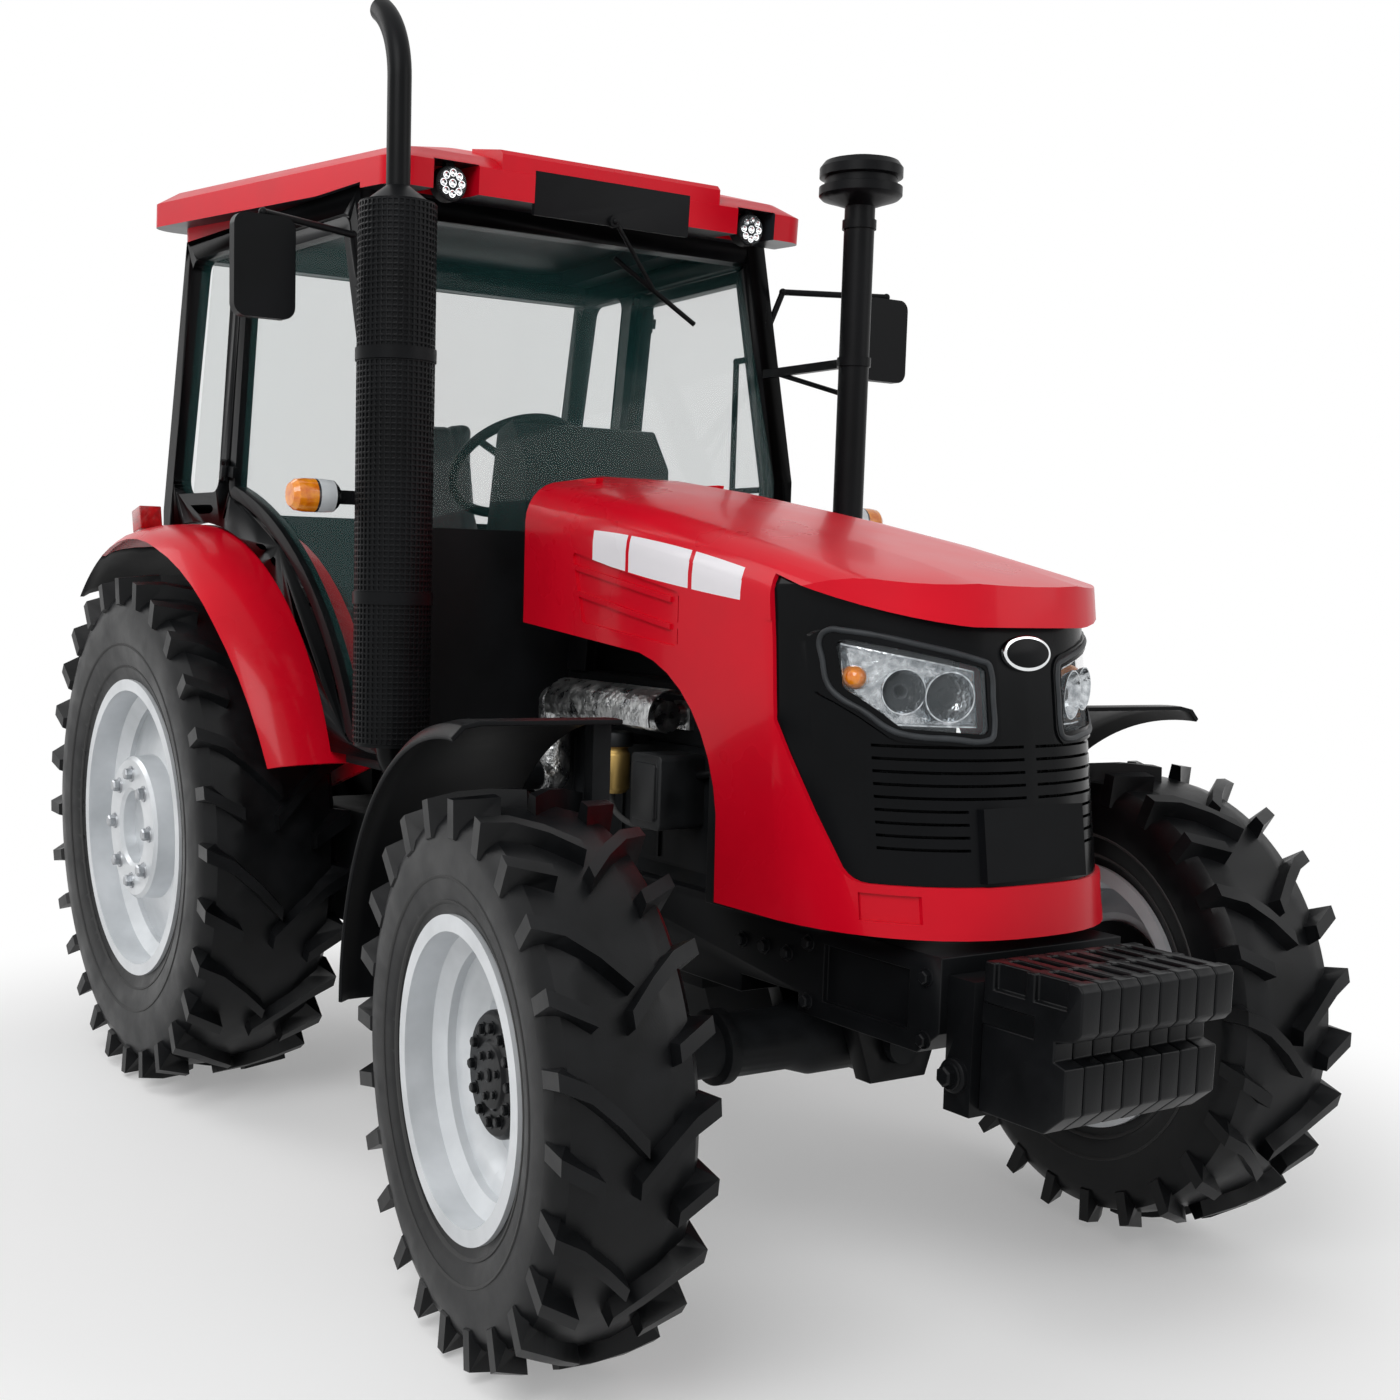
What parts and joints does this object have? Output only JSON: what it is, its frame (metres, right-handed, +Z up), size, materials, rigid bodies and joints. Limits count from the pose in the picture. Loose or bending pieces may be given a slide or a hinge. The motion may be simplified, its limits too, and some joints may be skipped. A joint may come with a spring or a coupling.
{
  "type": "farm tractor",
  "caption": "Cab farm tractor with four-wheel drive, lifting hood, hinged doors, steered front wheels and a rear three-point hitch.",
  "frame": {"origin": "on the ground under the middle of the overall box", "axes": "+X forwards, +Y to the left side, +Z up"},
  "size_m": [4.186, 2.2075, 2.942],
  "materials": {
    "red_paint": "glossy red enamel",
    "black_frame": "satin black paint",
    "driveline_cast": "dark grey painted castings",
    "black_plastic": "moulded black plastic",
    "stack_black": "black heat-proof paint",
    "heat_shield": "pressed bright sheet",
    "rim_silver": "silver paint",
    "hub_black": "black painted castings",
    "bright_steel": "ground steel",
    "tyre_rubber": "black rubber",
    "tinted_glass": "green tinted safety glass",
    "door_black": "satin black paint",
    "lamp_clear": "clear lamp lens",
    "lamp_amber": "amber lens",
    "lamp_red": "red lens",
    "seat_cover": "black seat cloth"
  },
  "bodies": {
    "chassis": {"engine": "driveline_cast", "engine_fittings": "black_plastic", "exhaust_manifold": "heat_shield", "radiator": "black_plastic", "hood_support": "black_frame", "front_frame": "black_frame", "front_axle": "driveline_cast", "transmission": "driveline_cast", "rear_axle": "driveline_cast", "fuel_tank": "black_plastic", "battery_box": "black_plastic", "steps": "black_frame", "cab_floor": "black_plastic", "cab_frame": "black_frame", "roof": "red_paint", "cab_glass": "tinted_glass", "dashboard": "black_plastic", "steering_wheel": "black_plastic", "seat": "seat_cover", "rear_fenders": "red_paint", "mud_flaps": "black_plastic", "exhaust_stack": "stack_black", "intake_stack": "stack_black", "mirrors": "black_frame", "weight_carrier": "black_frame", "front_weights": "hub_black", "work_lamps": "lamp_clear", "turn_lamps": "lamp_amber", "rear_lamps": "lamp_red", "wiper": "black_plastic", "drawbar": "driveline_cast", "pto_shaft": "bright_steel", "top_link": "driveline_cast"},
    "hood": {"hood": "red_paint", "grille": "black_plastic", "headlamps": "lamp_clear"},
    "door_left": {"door_left": "door_black", "door_left_glass": "tinted_glass"},
    "door_right": {"door_right": "door_black", "door_right_glass": "tinted_glass"},
    "knuckle_left": {"knuckle_left": "black_frame", "front_fender_left": "black_plastic"},
    "knuckle_right": {"knuckle_right": "black_frame", "front_fender_right": "black_plastic"},
    "steering_rod": {"steering_rod": "bright_steel"},
    "wheel_front_left": {"tyre_front_left": "tyre_rubber", "rim_front_left": "rim_silver", "hub_front_left": "hub_black"},
    "wheel_front_right": {"tyre_front_right": "tyre_rubber", "rim_front_right": "rim_silver", "hub_front_right": "hub_black"},
    "wheel_rear_left": {"tyre_rear_left": "tyre_rubber", "rim_rear_left": "rim_silver"},
    "wheel_rear_right": {"tyre_rear_right": "tyre_rubber", "rim_rear_right": "rim_silver"},
    "lift_arms": {"lift_arms": "driveline_cast"},
    "lift_rods": {"lift_rods": "driveline_cast"},
    "lower_links": {"lower_links": "driveline_cast"}
  },
  "joints": [
    {"name": "hood_lift", "type": "hinge", "parent": "chassis", "child": "hood", "pos_m": [0.354, 0, 1.768], "axis": [0, -1, 0], "range_deg": [0, 55]},
    {"name": "door_left_swing", "type": "hinge", "parent": "chassis", "child": "door_left", "pos_m": [-0.82224, 0.72437, 1.79], "axis": [0.1459, -0.0106, 0.9892], "range_deg": [0, 75]},
    {"name": "door_right_swing", "type": "hinge", "parent": "chassis", "child": "door_right", "pos_m": [-0.82224, -0.72437, 1.79], "axis": [-0.1459, -0.0106, -0.9892], "range_deg": [0, 75]},
    {"name": "steer_right", "type": "hinge", "parent": "chassis", "child": "knuckle_right", "pos_m": [1.249, -0.7, 0.575], "axis": [0, 0, 1], "range_deg": [-28, 42]},
    {"name": "steer_left", "type": "hinge", "parent": "chassis", "child": "knuckle_left", "pos_m": [1.249, 0.7, 0.575], "axis": [0, 0, 1], "range_deg": [-28, 42]},
    {"name": "steering_rod_slide", "type": "slide", "parent": "chassis", "child": "steering_rod", "axis": [0, 1, 0], "range_m": [-0.16, 0.11]},
    {"name": "wheel_front_right_spin", "type": "hinge", "parent": "knuckle_right", "child": "wheel_front_right", "pos_m": [1.22828, -0.86873, 0.575], "axis": [0.1219, 0.9925, 0], "continuous": true},
    {"name": "wheel_front_left_spin", "type": "hinge", "parent": "knuckle_left", "child": "wheel_front_left", "pos_m": [1.26972, 0.86873, 0.575], "axis": [0.1219, 0.9925, 0], "continuous": true},
    {"name": "wheel_rear_right_spin", "type": "hinge", "parent": "chassis", "child": "wheel_rear_right", "pos_m": [-1.051, -0.755, 0.775], "axis": [0, 1, 0], "continuous": true},
    {"name": "wheel_rear_left_spin", "type": "hinge", "parent": "chassis", "child": "wheel_rear_left", "pos_m": [-1.051, 0.755, 0.775], "axis": [0, 1, 0], "continuous": true},
    {"name": "hitch_lift", "type": "hinge", "parent": "chassis", "child": "lower_links", "pos_m": [-1.171, 0, 0.48], "axis": [0, 1, 0], "range_deg": [-15, 35]},
    {"name": "lift_arms_turn", "type": "hinge", "parent": "chassis", "child": "lift_arms", "pos_m": [-1.111, 0, 0.98], "axis": [0, 1, 0], "range_deg": [-15, 35]},
    {"name": "lift_rods_turn", "type": "hinge", "parent": "lift_arms", "child": "lift_rods", "pos_m": [-1.491, 0, 0.98], "axis": [0, 1, 0], "range_deg": [-35, 15]}
  ],
  "couplings": [
    {"joint": "steer_left", "follows": "steer_right", "ratio": 1},
    {"joint": "steering_rod_slide", "follows": "steer_right", "m_per_rad": -0.19249},
    {"joint": "lift_arms_turn", "follows": "hitch_lift", "ratio": 1},
    {"joint": "lift_rods_turn", "follows": "hitch_lift", "ratio": -1}
  ]
}
